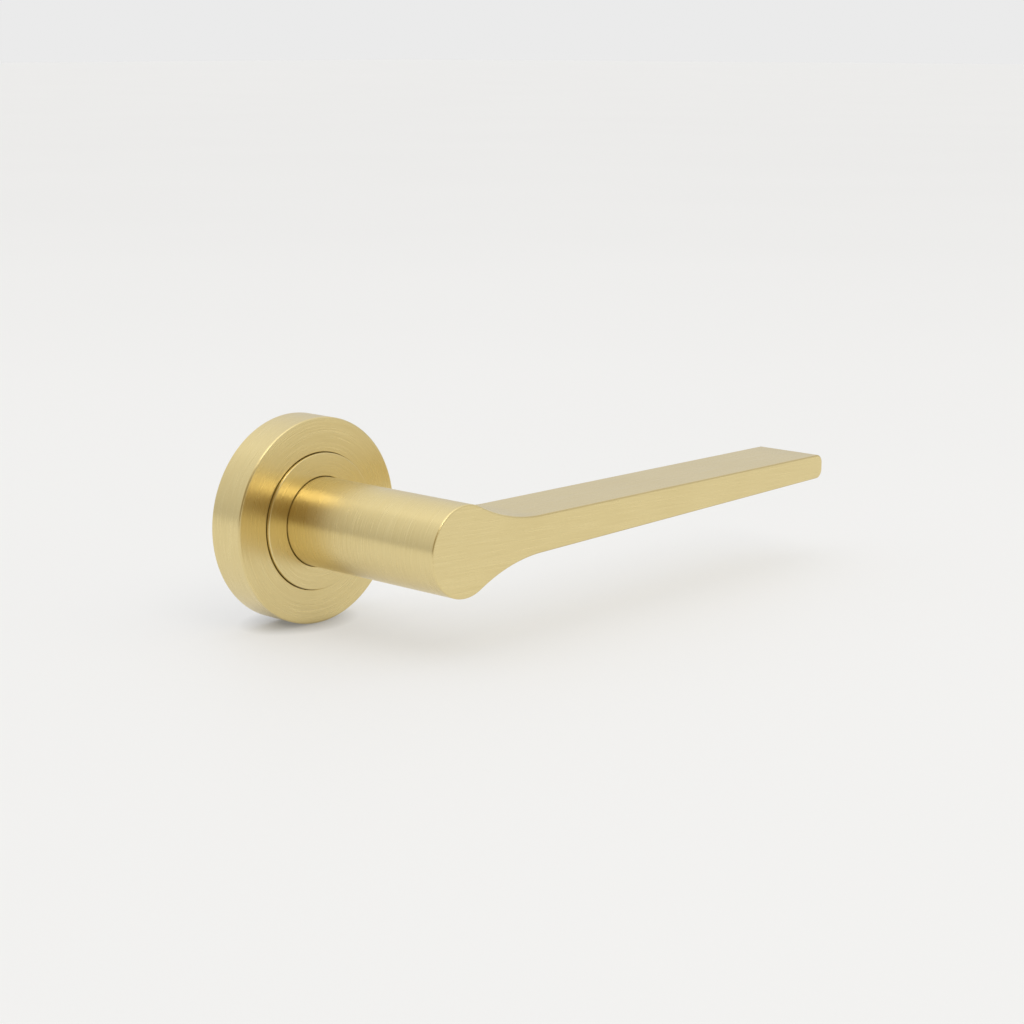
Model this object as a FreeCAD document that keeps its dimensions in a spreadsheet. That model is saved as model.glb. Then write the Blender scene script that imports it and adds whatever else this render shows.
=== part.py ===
"""Door lever handle on a round rose: one side of the door, sprung, with hidden fixings.

The origin is the centre of the rose's back face, on the door's face.  +Z is up, the door
lies on the +Y side, the handle stands out towards -Y and the lever runs towards +X.
Depths ("d") are distances in front of the door face, so a depth of 10 mm is y = -10 mm.
"""
import FreeCAD, Part

import math
import os
import re

import Sketcher

V = FreeCAD.Vector

# A cut that takes away less than this many cubic millimetres has missed its body.
LEAST_CUT = 0.01

# Driving dimensions, in millimetres and degrees.
SIZES = {
    "rose_radius": 26.0,
    "rose_depth": 10.0,
    "cover_wall": 1.5,
    "edge_break": 0.4,
    "small_break": 0.2,
    "collar_radius": 17.2,
    "collar_gap": 0.3,
    "collar_proud": 0.8,
    "collar_face": 1.0,
    "neck_radius": 11.25,
    "neck_gap": 0.3,
    "hub_gap": 0.35,
    "neck_start": 9.4,
    "projection": 60.5,
    "blade_depth": 20.0,
    "blade_end": 144.7,
    "blade_end_half": 3.3,
    "blade_end_round": 2.4,
    "blade_edge_round": 0.4,
    "flare_radius": 49.0,
    "flare_centre": 27.3,
    "journal_radius": 8.0,
    "journal_start": 0.4,
    "journal_flat": 6.95,
    "running_gap": 0.05,
    "bush_radius": 9.5,
    "bush_start": 4.1,
    "bush_flange": 0.5,
    "bush_flange_radius": 11.15,
    "bush_seat": 8.8,
    "base_front": 8.2,
    "skirt_start": 8.4,
    "base_gap": 0.08,
    "hub_radius": 16.0,
    "hub_tube_radius": 11.2,
    "hub_tube_start": 4.0,
    "pocket_radius": 14.8,
    "pocket_floor": 7.9,
    "ear_radius": 17.2,
    "ear_half_angle": 6.0,
    "ear_rest_angle": 68.0,
    "ear_slot_depth": 4.6,
    "ear_slot_gap": 0.4,
    "stop_gap": 0.1,
    "lever_swing": 45.0,
    "circlip_start": 0.9,
    "circlip_thickness": 1.0,
    "circlip_groove_radius": 7.6,
    "circlip_width": 1.8,
    "circlip_lug_radius": 1.3,
    "circlip_eye_radius": 0.6,
    "circlip_lug_angle": 22.0,
    "wave_washer_thickness": 0.4,
    "wave_washer_radius": 10.8,
    "cam_thickness": 1.2,
    "cam_radius": 14.4,
    "thrust_washer_thickness": 0.4,
    "thrust_washer_radius": 11.0,
    "wire_diameter": 1.5,
    "coil_radius": 12.9,
    "coil_pitch": 1.55,
    "coil_turns": 1.5,
    "coil_start": 4.75,
    "tang_hole_radius": 0.9,
    "tang_hole_depth": 1.5,
    "tang_reach": 1.3,
    "moving_tang_end": 2.5,
    "socket_size": 8.1,
    "socket_depth": 30.0,
    "spindle_clearance": 0.5,
    "spindle_chamfer": 0.6,
    "spindle_size": 8.0,
    "spindle_behind": 20.0,
    "grub_depth": 22.0,
    "grub_diameter": 5.0,
    "grub_length": 6.0,
    "grub_key": 2.5,
    "post_pitch": 38.0,
    "post_radius": 2.75,
    "post_head_radius": 3.6,
    "post_head_depth": 1.5,
    "post_seat": 6.6,
    "post_slot_half": 0.6,
    "post_slot_depth": 0.8,
    "post_thread_end": 5.0,
    "post_fit": 0.05,
    "post_behind": 8.0,
    "post_thread_radius": 1.65,
    "ring_wire_radius": 0.5,
    "ring_depth": 4.0,
    "ring_radius": 23.9,
    "recess_outer": 22.4,
    "recess_inner": 17.4,
    "recess_depth": 6.4,
    "recess_low_angle": 110.0,
    "recess_high_angle": 160.0,
    "through": 0.1,
}

# Depths of the pieces stacked on the journal, worked out from the ones before them.
CIRCLIP_END = "(circlip_start + circlip_thickness)"
CAM_START = f"({CIRCLIP_END} + wave_washer_thickness)"
CAM_END = f"({CAM_START} + cam_thickness)"
COVER_INSIDE = "(rose_radius - cover_wall)"
COLLAR_FRONT = "(rose_depth + collar_proud)"
COLLAR_BACK = f"({COLLAR_FRONT} - collar_face)"
COIL_END = "(coil_start + coil_pitch * coil_turns)"

# How far round the circlip and the cover's snap ring go, in degrees.
CIRCLIP_SWEEP = 325.0
SNAP_RING_SWEEP = 345.0

doc = FreeCAD.newDocument("DoorLeverHandle")


def make_sheet():
    """Writes the driving dimensions to the sheet, one aliased cell each."""
    sheet = doc.addObject("Spreadsheet::Sheet", "Dims")
    for row, (alias, size) in enumerate(SIZES.items(), start=1):
        sheet.set(f"A{row}", alias.replace("_", " "))
        sheet.set(f"B{row}", str(size))
        sheet.setAlias(f"B{row}", alias)
    doc.recompute()
    return sheet


SHEET = make_sheet()


def bound(text):
    """Turns a formula in dimension names into one that reads the sheet."""
    return re.sub(r"[a-z_]+", lambda m: "Dims." + m[0] if m[0] in SIZES else m[0], text)


def number(text):
    """Works a formula out now, to lay a sketch near its final place."""
    return float(SHEET.evalExpression(bound(text)))


def make_body(label, **places):
    """A body with its label, its placement bound to the formulas given as x, y or z."""
    body = doc.addObject("PartDesign::Body", label)
    body.Label = label
    for axis, text in places.items():
        body.setExpression(f"Placement.Base.{axis}", bound(text))
    return body


def make_sketch(body, name, role, offset="0"):
    """A sketch on one of the body's own origin planes, moved along the plane's normal."""
    sketch = body.newObject("Sketcher::SketchObject", name)
    plane = next(item for item in body.Origin.OriginFeatures if item.Role == role)
    sketch.AttachmentSupport = [(plane, "")]
    sketch.MapMode = "FlatFace"
    sketch.setExpression("AttachmentOffset.Base.z", bound(offset))
    return sketch


def pin(sketch, shape, vertex, across, up):
    """Fixes one vertex of a sketch element by two formulas."""
    for kind, text in (("DistanceX", across), ("DistanceY", up)):
        index = sketch.addConstraint(
            Sketcher.Constraint(kind, -1, 1, shape, vertex, number(text)))
        sketch.setExpression(f"Constraints[{index}]", bound(text))


def size(sketch, kind, shape, text):
    """Fixes the radius or another single size of a sketch element by a formula."""
    index = sketch.addConstraint(Sketcher.Constraint(kind, shape, number(text)))
    sketch.setExpression(f"Constraints[{index}]", bound(text))


def draw_outline(sketch, corners):
    """Draws a closed outline of straight lines through corners given as formulas."""
    points = [V(number(across), number(up), 0) for across, up in corners]
    first = sketch.GeometryCount
    for start, end in zip(points, points[1:] + points[:1]):
        sketch.addGeometry(Part.LineSegment(start, end))
    count = len(corners)
    for place, (across, up) in enumerate(corners):
        before = first + (place - 1) % count
        sketch.addConstraint(Sketcher.Constraint("Coincident", before, 2, first + place, 1))
        pin(sketch, first + place, 1, across, up)


def draw_square(sketch, half):
    """Draws a square about the centre from half its side."""
    low = f"-({half})"
    draw_outline(sketch, [(low, low), (half, low), (half, half), (low, half)])


def draw_circle(sketch, across, up, radius):
    """Draws a circle whose centre and radius are formulas."""
    circle = Part.Circle(V(number(across), number(up), 0), V(0, 0, 1), number(radius))
    shape = sketch.addGeometry(circle)
    pin(sketch, shape, 3, across, up)
    size(sketch, "Radius", shape, radius)


def draw_double_d(sketch, radius, flat):
    """Draws a circle cut by two flats at equal distances left and right of the centre."""
    rise = f"sqrt(({radius})^2 - ({flat})^2)"
    lean = math.atan2(number(rise), number(flat))
    shapes = []
    circle = Part.Circle(V(), V(0, 0, 1), number(radius))
    for side in (1, -1):
        low = V(side * number(flat), -side * number(rise), 0)
        high = V(side * number(flat), side * number(rise), 0)
        shapes.append(sketch.addGeometry(Part.LineSegment(low, high)))
        start = lean if side == 1 else lean + math.pi
        arc = Part.ArcOfCircle(circle, start, start + math.pi - 2 * lean)
        shapes.append(sketch.addGeometry(arc))
    for place, shape in enumerate(shapes):
        after = shapes[(place + 1) % len(shapes)]
        sketch.addConstraint(Sketcher.Constraint("Coincident", shape, 2, after, 1))
    for side, line, arc in ((1, shapes[0], shapes[1]), (-1, shapes[2], shapes[3])):
        pin(sketch, line, 1, f"{side} * ({flat})", f"{-side} * {rise}")
        pin(sketch, line, 2, f"{side} * ({flat})", f"{side} * {rise}")
        size(sketch, "Radius", arc, radius)


def add_turned(body, name, section, angle=360.0, kind="PartDesign::Revolution"):
    """Turns a section, given as (depth, radius) corners, about the body's Y axis."""
    sketch = make_sketch(body, f"{name}_section", "YZ_Plane")
    draw_outline(sketch, [(f"-({depth})", radius) for depth, radius in section])
    return turn_sketch(body, name, sketch, angle, kind)


def turn_sketch(body, name, sketch, angle, kind):
    """Revolves or grooves a sketch about its horizontal axis, evenly to both sides."""
    feature = body.newObject(kind, name)
    feature.Profile = sketch
    feature.ReferenceAxis = (sketch, ["H_Axis"])
    feature.Midplane = True
    feature.Angle = angle
    return feature


def add_pad(body, name, sketch, length):
    """Pads a sketch along its plane's normal."""
    pad = body.newObject("PartDesign::Pad", name)
    pad.Profile = sketch
    pad.setExpression("Length", bound(length))
    return pad


def add_pocket(body, name, sketch, length):
    """Cuts a sketch's outline against its plane's normal, and checks that it cut something."""
    doc.recompute()
    before = body.Shape.Volume
    pocket = body.newObject("PartDesign::Pocket", name)
    pocket.Profile = sketch
    pocket.setExpression("Length", bound(length))
    doc.recompute()
    if body.Shape.Volume > before - LEAST_CUT:
        raise RuntimeError(f"{body.Label}: {name} cut nothing")
    return pocket


def add_ring_pattern(body, name, feature, count):
    """Repeats a feature around the body's Y axis."""
    pattern = body.newObject("PartDesign::PolarPattern", name)
    pattern.Originals = [feature]
    pattern.Axis = (feature.Profile[0], ["N_Axis"])
    pattern.Angle = 360.0
    pattern.Occurrences = count
    body.Tip = pattern
    return pattern


def sector(inner, outer, low, high):
    """Corners of a four-sided ear or slot between two radii and two angles."""
    corners = ((inner, low), (outer, low), (outer, high), (inner, high))
    return [(f"({r}) * cos(({a}) * 1deg)", f"({r}) * sin(({a}) * 1deg)") for r, a in corners]


def draw_arc_slot(sketch, inner, outer, low, high):
    """Draws a slot bounded by two arcs about the origin and two radial ends."""
    first, last = math.radians(number(low)), math.radians(number(high))
    shapes = []
    for radius in (inner, outer):
        arc = Part.ArcOfCircle(Part.Circle(V(), V(0, 0, 1), number(radius)), first, last)
        shapes.append(sketch.addGeometry(arc))
    corners = sector(inner, outer, low, high)
    points = [V(number(across), number(up), 0) for across, up in corners]
    shapes.append(sketch.addGeometry(Part.LineSegment(points[0], points[1])))
    shapes.append(sketch.addGeometry(Part.LineSegment(points[3], points[2])))
    inside, outside, start, end = shapes
    for one, vertex, other in ((inside, 1, start), (inside, 2, end)):
        sketch.addConstraint(Sketcher.Constraint("Coincident", one, vertex, other, 1))
    for one, vertex, other in ((outside, 1, start), (outside, 2, end)):
        sketch.addConstraint(Sketcher.Constraint("Coincident", one, vertex, other, 2))
    for arc, radius in ((inside, inner), (outside, outer)):
        size(sketch, "Radius", arc, radius)
    for line, vertex, (across, up) in zip((start, start, end, end), (1, 2, 2, 1), corners):
        pin(sketch, line, vertex, across, up)


def blade_outline(body):
    """The blade seen from the front: flared root, slight taper and a square end."""
    sketch = make_sketch(body, "blade_outline", "XZ_Plane", "projection - blade_depth")
    reach = "(neck_radius + flare_radius)"
    rise = f"sqrt({reach}^2 - flare_centre^2)"
    share = f"neck_radius / {reach}"
    centre_x, centre_z = number("flare_centre"), number(rise)
    radius, end_x, end_z = number("flare_radius"), number("blade_end"), number("blade_end_half")
    lean = math.atan2(end_z - (centre_z - radius), end_x - centre_x)
    join = V(centre_x + radius * math.sin(lean), centre_z - radius * math.cos(lean), 0)
    root = V(centre_x * number(share), centre_z * number(share), 0)
    top = draw_flare(sketch, 1, join, root)
    bottom = draw_flare(sketch, -1, join, root)
    corner = V(end_x, end_z, 0)
    tip = sketch.addGeometry(Part.LineSegment(corner, V(corner.x, -corner.y, 0)))
    heel = sketch.addGeometry(Part.LineSegment(root, V(root.x, -root.y, 0)))
    for vertex, side, (arc, edge) in ((1, 1, top), (2, -1, bottom)):
        sketch.addConstraint(Sketcher.Constraint("Coincident", edge, 2, tip, vertex))
        sketch.addConstraint(Sketcher.Constraint("Coincident", heel, vertex, arc, vertex))
        pin(sketch, arc, 3, "flare_centre", f"{side} * {rise}")
        size(sketch, "Radius", arc, "flare_radius")
        index = sketch.addConstraint(
            Sketcher.Constraint("DistanceX", -1, 1, heel, vertex, number(f"flare_centre * {share}")))
        sketch.setExpression(f"Constraints[{index}]", bound(f"flare_centre * {share}"))
        pin(sketch, edge, 2, "blade_end", f"{side} * blade_end_half")
    return sketch


def draw_flare(sketch, side, join, root):
    """One concave flare arc and the straight blade edge that leaves it, above or below."""
    centre = V(number("flare_centre"), side * number(
        "sqrt((neck_radius + flare_radius)^2 - flare_centre^2)"), 0)
    ends = [V(join.x, side * join.y, 0), V(root.x, side * root.y, 0)]
    angles = [math.atan2(end.y - centre.y, end.x - centre.x) for end in ends]
    low, high = (angles[1], angles[0]) if side == 1 else (angles[0], angles[1])
    circle = Part.Circle(centre, V(0, 0, 1), number("flare_radius"))
    arc = sketch.addGeometry(Part.ArcOfCircle(circle, low, high))
    tip = V(number("blade_end"), side * number("blade_end_half"), 0)
    edge = sketch.addGeometry(Part.LineSegment(ends[0], tip))
    sketch.addConstraint(Sketcher.Constraint("Tangent", arc, 2 if side == 1 else 1, edge, 1))
    return arc, edge


def round_edges(body, name, base, radius, wanted):
    """Rounds the edges of a feature that pass the test given."""
    doc.recompute()
    names = [f"Edge{place}" for place, edge in enumerate(base.Shape.Edges, start=1) if wanted(edge)]
    fillet = body.newObject("PartDesign::Fillet", name)
    fillet.Base = (base, names)
    fillet.setExpression("Radius", bound(radius))
    doc.recompute()
    return fillet


def make_lever_handle():
    """The cast lever: blade, round neck, journal, spindle socket and grub screw hole."""
    body = make_body("lever_handle")
    blade = add_pad(body, "blade", blade_outline(body), "blade_depth")
    end, end_half, heel = number("blade_end"), number("blade_end_half"), number("neck_radius")

    def at_tip_corner(edge):
        return edge.BoundBox.XMin > end - LEAST_CUT and edge.BoundBox.YLength > end_half

    tip = round_edges(body, "blade_end_corners", blade, "blade_end_round", at_tip_corner)

    def on_long_rim(edge):
        return edge.BoundBox.YLength < LEAST_CUT and edge.BoundBox.XMax > heel

    round_edges(body, "blade_edges", tip, "blade_edge_round", on_long_rim)
    add_turned(body, "neck", [
        ("journal_start", "0"),
        ("journal_start", "journal_radius - edge_break"),
        ("journal_start + edge_break", "journal_radius"),
        ("neck_start", "journal_radius"),
        ("neck_start", "neck_radius"),
        ("projection - edge_break", "neck_radius"),
        ("projection", "neck_radius - edge_break"),
        ("projection", "0"),
    ])
    add_turned(body, "circlip_groove", [
        ("circlip_start", "circlip_groove_radius"),
        ("circlip_start", "bush_radius"),
        (CIRCLIP_END, "bush_radius"),
        (CIRCLIP_END, "circlip_groove_radius"),
    ], kind="PartDesign::Groove")
    cut_journal_flats(body)
    socket = make_sketch(body, "socket_outline", "XZ_Plane", "socket_depth")
    draw_square(socket, "socket_size / 2")
    add_pocket(body, "spindle_socket", socket, "socket_depth")
    hole = make_sketch(body, "grub_hole_outline", "XY_Plane")
    draw_circle(hole, "0", "-grub_depth", "grub_diameter / 2")
    add_pocket(body, "grub_hole", hole, "neck_radius + through")
    return body


def cut_journal_flats(body):
    """Two flats on the journal that carry the driving cam round."""
    sketch = make_sketch(body, "flat_outline", "XZ_Plane", CAM_END)
    low, high = "-journal_radius", "journal_radius"
    for side in (1, -1):
        near, far = f"{side} * journal_flat", f"{side} * bush_radius"
        draw_outline(sketch, [(near, low), (far, low), (far, high), (near, high)])
    add_pocket(body, "journal_flats", sketch, CAM_END)


def make_rose_cover():
    """The round cover: a shallow cup with the collar's opening in its face."""
    body = make_body("rose_cover")
    hole = "collar_radius + collar_gap"
    add_turned(body, "cup", [
        ("0", COVER_INSIDE),
        ("0", "rose_radius"),
        ("rose_depth - edge_break", "rose_radius"),
        ("rose_depth", "rose_radius - edge_break"),
        ("rose_depth", f"{hole} + small_break"),
        ("rose_depth - small_break", hole),
        ("rose_depth - cover_wall", hole),
        ("rose_depth - cover_wall", COVER_INSIDE),
    ])
    return body


def make_collar_ring():
    """The proud ring around the neck, pressed over the base's hub."""
    body = make_body("collar_ring")
    hole = "neck_radius + neck_gap"
    add_turned(body, "ring", [
        (COLLAR_BACK, hole),
        (f"{COLLAR_FRONT} - small_break", hole),
        (COLLAR_FRONT, f"{hole} + small_break"),
        (COLLAR_FRONT, "collar_radius - small_break"),
        (f"{COLLAR_FRONT} - small_break", "collar_radius"),
        ("skirt_start", "collar_radius"),
        ("skirt_start", "hub_radius"),
        (COLLAR_BACK, "hub_radius"),
    ])
    return body


def make_base_plate():
    """The cast base behind the cover: hub, spring pocket, ear slots and post holes."""
    body = make_body("base_plate")
    rim = f"{COVER_INSIDE} - base_gap"
    add_turned(body, "casting", [
        ("0", "pocket_radius"),
        ("0", rim),
        ("base_front", rim),
        ("base_front", "hub_radius"),
        (COLLAR_BACK, "hub_radius"),
        (COLLAR_BACK, "neck_radius + hub_gap"),
        ("bush_seat", "neck_radius + hub_gap"),
        ("bush_seat", "bush_radius"),
        ("hub_tube_start", "bush_radius"),
        ("hub_tube_start", "hub_tube_radius"),
        ("pocket_floor", "hub_tube_radius"),
        ("pocket_floor", "pocket_radius"),
    ])
    ring_bottom = "ring_radius - ring_wire_radius"
    add_turned(body, "ring_groove", [
        ("ring_depth - ring_wire_radius", ring_bottom),
        ("ring_depth - ring_wire_radius", "rose_radius"),
        ("ring_depth + ring_wire_radius", "rose_radius"),
        ("ring_depth + ring_wire_radius", ring_bottom),
    ], kind="PartDesign::Groove")
    cut_base_slots(body)
    cut_post_holes(body)
    anchor = make_sketch(body, "anchor_outline", "XZ_Plane", "pocket_floor + tang_hole_depth")
    draw_circle(anchor, "0", "-coil_radius", "tang_hole_radius")
    add_pocket(body, "spring_anchor_hole", anchor, "tang_hole_depth + through")
    return body


def cut_base_slots(body):
    """Two slots whose ends stop the cam's ears, and two recesses that lighten the casting."""
    slot = make_sketch(body, "ear_slot_outline", "XZ_Plane", "ear_slot_depth")
    low = "ear_rest_angle - lever_swing - ear_half_angle - ear_slot_gap"
    high = "ear_rest_angle + ear_half_angle + stop_gap"
    draw_arc_slot(slot, "cam_radius - ear_slot_gap", "ear_radius + ear_slot_gap", low, high)
    cut = add_pocket(body, "ear_slot", slot, "ear_slot_depth")
    add_ring_pattern(body, "ear_slots", cut, 2)
    recess = make_sketch(body, "recess_outline", "XZ_Plane", "recess_depth")
    draw_arc_slot(recess, "recess_inner", "recess_outer", "recess_low_angle", "recess_high_angle")
    cut = add_pocket(body, "recess", recess, "recess_depth")
    add_ring_pattern(body, "recesses", cut, 2)


def cut_post_holes(body):
    """Stepped holes above and below the hub for the two fixing posts."""
    steps = (
        ("post_head", "post_head_radius + post_fit", f"{COLLAR_BACK} - post_seat"),
        ("post_shank", "post_radius", COLLAR_BACK),
    )
    for name, radius, length in steps:
        sketch = make_sketch(body, f"{name}_outline", "XZ_Plane", COLLAR_BACK)
        for side in (1, -1):
            draw_circle(sketch, "0", f"{side} * post_pitch / 2", radius)
        add_pocket(body, f"{name}_holes", sketch, length)


def make_neck_bush():
    """The flanged plastic bush that the journal turns in."""
    body = make_body("neck_bush")
    bore = "journal_radius + running_gap"
    add_turned(body, "bush", [
        ("bush_start", bore),
        ("bush_start", "bush_radius"),
        ("bush_seat", "bush_radius"),
        ("bush_seat", "bush_flange_radius"),
        ("bush_seat + bush_flange", "bush_flange_radius"),
        ("bush_seat + bush_flange", bore),
    ])
    return body


def make_flat_ring(label, start, thickness, outer):
    """A flat washer around the journal."""
    body = make_body(label)
    bore = "journal_radius + 2 * running_gap"
    add_turned(body, "washer", [
        (start, bore),
        (start, outer),
        (f"{start} + {thickness}", outer),
        (f"{start} + {thickness}", bore),
    ])
    return body


def make_driver_cam():
    """The steel cam on the journal's flats, with two ears and the spring's hole."""
    body = make_body("driver_cam")
    disc = make_sketch(body, "disc_outline", "XZ_Plane", CAM_START)
    draw_circle(disc, "0", "0", "cam_radius")
    draw_double_d(disc, "journal_radius + running_gap", "journal_flat + running_gap")
    add_pad(body, "disc", disc, "cam_thickness")
    ear = make_sketch(body, "ear_outline", "XZ_Plane", CAM_START)
    low, high = "ear_rest_angle - ear_half_angle", "ear_rest_angle + ear_half_angle"
    draw_outline(ear, sector("coil_radius", "ear_radius", low, high))
    pad = add_pad(body, "ear", ear, "cam_thickness")
    doc.recompute()
    add_ring_pattern(body, "ears", pad, 2)
    hole = make_sketch(body, "tang_hole_outline", "XZ_Plane", CAM_END)
    draw_circle(hole, "0", "coil_radius", "tang_hole_radius")
    add_pocket(body, "tang_hole", hole, "cam_thickness + through")
    return body


def make_circlip():
    """The external circlip that keeps the lever in the rose."""
    body = make_body("circlip")
    add_turned(body, "clip", [
        ("circlip_start", "circlip_groove_radius"),
        ("circlip_start", "circlip_groove_radius + circlip_width"),
        (CIRCLIP_END, "circlip_groove_radius + circlip_width"),
        (CIRCLIP_END, "circlip_groove_radius"),
    ], angle=CIRCLIP_SWEEP)
    lugs = make_sketch(body, "lug_outline", "XZ_Plane", "circlip_start")
    draw_lug_circles(lugs, "circlip_lug_radius")
    add_pad(body, "lugs", lugs, "circlip_thickness")
    eyes = make_sketch(body, "eye_outline", "XZ_Plane", CIRCLIP_END)
    draw_lug_circles(eyes, "circlip_eye_radius")
    add_pocket(body, "lug_eyes", eyes, "circlip_thickness")
    return body


def draw_lug_circles(sketch, radius):
    """Draws a circle on each of the circlip's two lugs, left and right of its gap."""
    reach = "(circlip_groove_radius + circlip_width)"
    for side in (1, -1):
        across = f"{side} * {reach} * sin(circlip_lug_angle * 1deg)"
        draw_circle(sketch, across, f"-{reach} * cos(circlip_lug_angle * 1deg)", radius)


def make_return_spring():
    """The torsion spring: one and a half turns with a bent tang at each end."""
    body = make_body("return_spring")
    wire = "wire_diameter / 2"
    section = make_sketch(body, "wire_section", "YZ_Plane")
    draw_circle(section, "-coil_start", "coil_radius", wire)
    coil = body.newObject("PartDesign::AdditiveHelix", "coil")
    coil.Profile = section
    coil.ReferenceAxis = (section, ["H_Axis"])
    coil.Mode = "pitch-turns-angle"
    coil.setExpression("Pitch", bound("coil_pitch"))
    coil.setExpression("Turns", bound("coil_turns"))
    coil.Reversed = True
    doc.recompute()
    tangs = (
        ("moving_tang", "moving_tang_end", f"coil_start + {wire}", 1),
        ("fixed_tang", f"{COIL_END} - {wire}", "pocket_floor + tang_reach", -1),
    )
    for name, start, end, side in tangs:
        sketch = make_sketch(body, f"{name}_outline", "XZ_Plane", start)
        draw_circle(sketch, "0", f"{side} * coil_radius", wire)
        add_pad(body, name, sketch, f"{end} - ({start})")
    return body


def make_spindle():
    """The square spindle that turns the latch."""
    body = make_body("spindle")
    sketch = make_sketch(body, "square", "XZ_Plane", "-spindle_behind")
    draw_square(sketch, "spindle_size / 2")
    bar = add_pad(body, "bar", sketch, "spindle_behind + socket_depth - spindle_clearance")
    doc.recompute()
    names = [f"Edge{place}" for place, edge in enumerate(bar.Shape.Edges, start=1)
             if edge.BoundBox.YLength < LEAST_CUT]
    ends = body.newObject("PartDesign::Chamfer", "end_chamfers")
    ends.Base = (bar, names)
    ends.setExpression("Size", bound("spindle_chamfer"))
    return body


def make_grub_screw():
    """The socket grub screw in the neck's underside, tight on the spindle."""
    body = make_body("grub_screw")
    tip = "(spindle_size / 2)"
    thread = make_sketch(body, "thread_outline", "XY_Plane", f"-({tip} + grub_length)")
    draw_circle(thread, "0", "-grub_depth", "grub_diameter / 2")
    add_pad(body, "thread", thread, "grub_length")
    key = make_sketch(body, "key_outline", "XY_Plane", f"-({tip} + grub_length - grub_key)")
    reach = "grub_key / sqrt(3)"
    draw_outline(key, [
        (f"{reach} * cos({angle}deg)", f"{reach} * sin({angle}deg) - grub_depth")
        for angle in range(0, 360, 60)
    ])
    add_pocket(body, "key_socket", key, "grub_key + through")
    return body


def make_fixing_post(label, side):
    """A threaded post that a bolt from the other side of the door screws into."""
    body = make_body(label, z=f"{side} * post_pitch / 2")
    add_turned(body, "post", [
        ("-post_behind", "post_thread_radius"),
        ("-post_behind", "post_radius - edge_break"),
        ("-post_behind + edge_break", "post_radius"),
        ("post_seat", "post_radius"),
        ("post_seat", "post_head_radius"),
        ("post_seat + post_head_depth", "post_head_radius"),
        ("post_seat + post_head_depth", "0"),
        ("post_thread_end", "0"),
        ("post_thread_end", "post_thread_radius"),
    ])
    slot = make_sketch(body, "slot_outline", "XZ_Plane", "post_seat + post_head_depth")
    near, far = "-(post_head_radius + through)", "post_head_radius + through"
    low, high = "-post_slot_half", "post_slot_half"
    draw_outline(slot, [(near, low), (far, low), (far, high), (near, high)])
    add_pocket(body, "driver_slot", slot, "post_slot_depth")
    return body


def make_cover_snap_ring():
    """The sprung wire ring in the base's rim that grips the cover."""
    body = make_body("cover_snap_ring")
    sketch = make_sketch(body, "wire_section", "YZ_Plane")
    draw_circle(sketch, "-ring_depth", "ring_radius", "ring_wire_radius")
    turn_sketch(body, "wire", sketch, SNAP_RING_SWEEP, "PartDesign::Revolution")
    return body


def make_parts():
    """Builds every sub-part and returns them."""
    return [
        make_lever_handle(),
        make_rose_cover(),
        make_collar_ring(),
        make_base_plate(),
        make_neck_bush(),
        make_flat_ring("wave_washer", CIRCLIP_END, "wave_washer_thickness", "wave_washer_radius"),
        make_flat_ring("thrust_washer", CAM_END, "thrust_washer_thickness", "thrust_washer_radius"),
        make_driver_cam(),
        make_circlip(),
        make_return_spring(),
        make_spindle(),
        make_grub_screw(),
        make_fixing_post("fixing_post_upper", 1),
        make_fixing_post("fixing_post_lower", -1),
        make_cover_snap_ring(),
    ]


def check_document(parts):
    """Stops if any object failed or any sub-part isn't one good solid."""
    for item in doc.Objects:
        if {"Invalid", "Error"} & set(item.State):
            raise RuntimeError(f"{item.Label} failed: {item.State}")
    for part in parts:
        if part.Shape.isNull() or not part.Shape.isValid():
            raise RuntimeError(f"{part.Label} has no valid shape")
        if len(part.Shape.Solids) != 1:
            raise RuntimeError(f"{part.Label} has {len(part.Shape.Solids)} solids")


def main():
    """Builds, checks and writes the sub-parts."""
    parts = make_parts()
    doc.recompute()
    check_document(parts)
    os.makedirs("parts", exist_ok=True)
    for part in parts:
        part.Shape.exportStep(f"parts/{part.Label}.step")
        print(f"{part.Label}: {part.Shape.Volume / 1000:.2f} cm3")


main()
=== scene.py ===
"""Door lever handle on a round rose, in satin brushed brass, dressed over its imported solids.

Everything is in metres in the solids' own frame: the origin is the centre of the rose's back
face, +Z is up, the door lies on the +Y side and the lever runs towards +X.  A "depth" is a
distance in front of the door's face, so a point at depth d has y = -d.
"""
import logging
import math
from dataclasses import dataclass, field
from enum import Enum, IntEnum
from math import cos, pi, sin

import bmesh
import bpy
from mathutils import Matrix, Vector


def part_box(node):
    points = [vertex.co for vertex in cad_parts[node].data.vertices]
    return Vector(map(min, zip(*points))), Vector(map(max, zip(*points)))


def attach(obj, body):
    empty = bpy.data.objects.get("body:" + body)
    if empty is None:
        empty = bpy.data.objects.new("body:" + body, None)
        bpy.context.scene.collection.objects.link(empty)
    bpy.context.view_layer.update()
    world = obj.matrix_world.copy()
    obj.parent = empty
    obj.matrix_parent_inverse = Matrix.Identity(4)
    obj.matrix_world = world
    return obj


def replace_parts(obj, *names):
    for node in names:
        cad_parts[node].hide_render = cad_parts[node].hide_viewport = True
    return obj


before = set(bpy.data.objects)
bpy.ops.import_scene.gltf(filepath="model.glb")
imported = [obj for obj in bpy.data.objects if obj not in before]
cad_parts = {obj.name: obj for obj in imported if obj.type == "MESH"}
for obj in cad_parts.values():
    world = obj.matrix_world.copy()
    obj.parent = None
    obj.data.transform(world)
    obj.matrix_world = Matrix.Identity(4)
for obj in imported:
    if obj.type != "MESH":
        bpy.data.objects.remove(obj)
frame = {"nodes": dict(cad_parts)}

LOG = logging.getLogger("door_lever")

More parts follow.
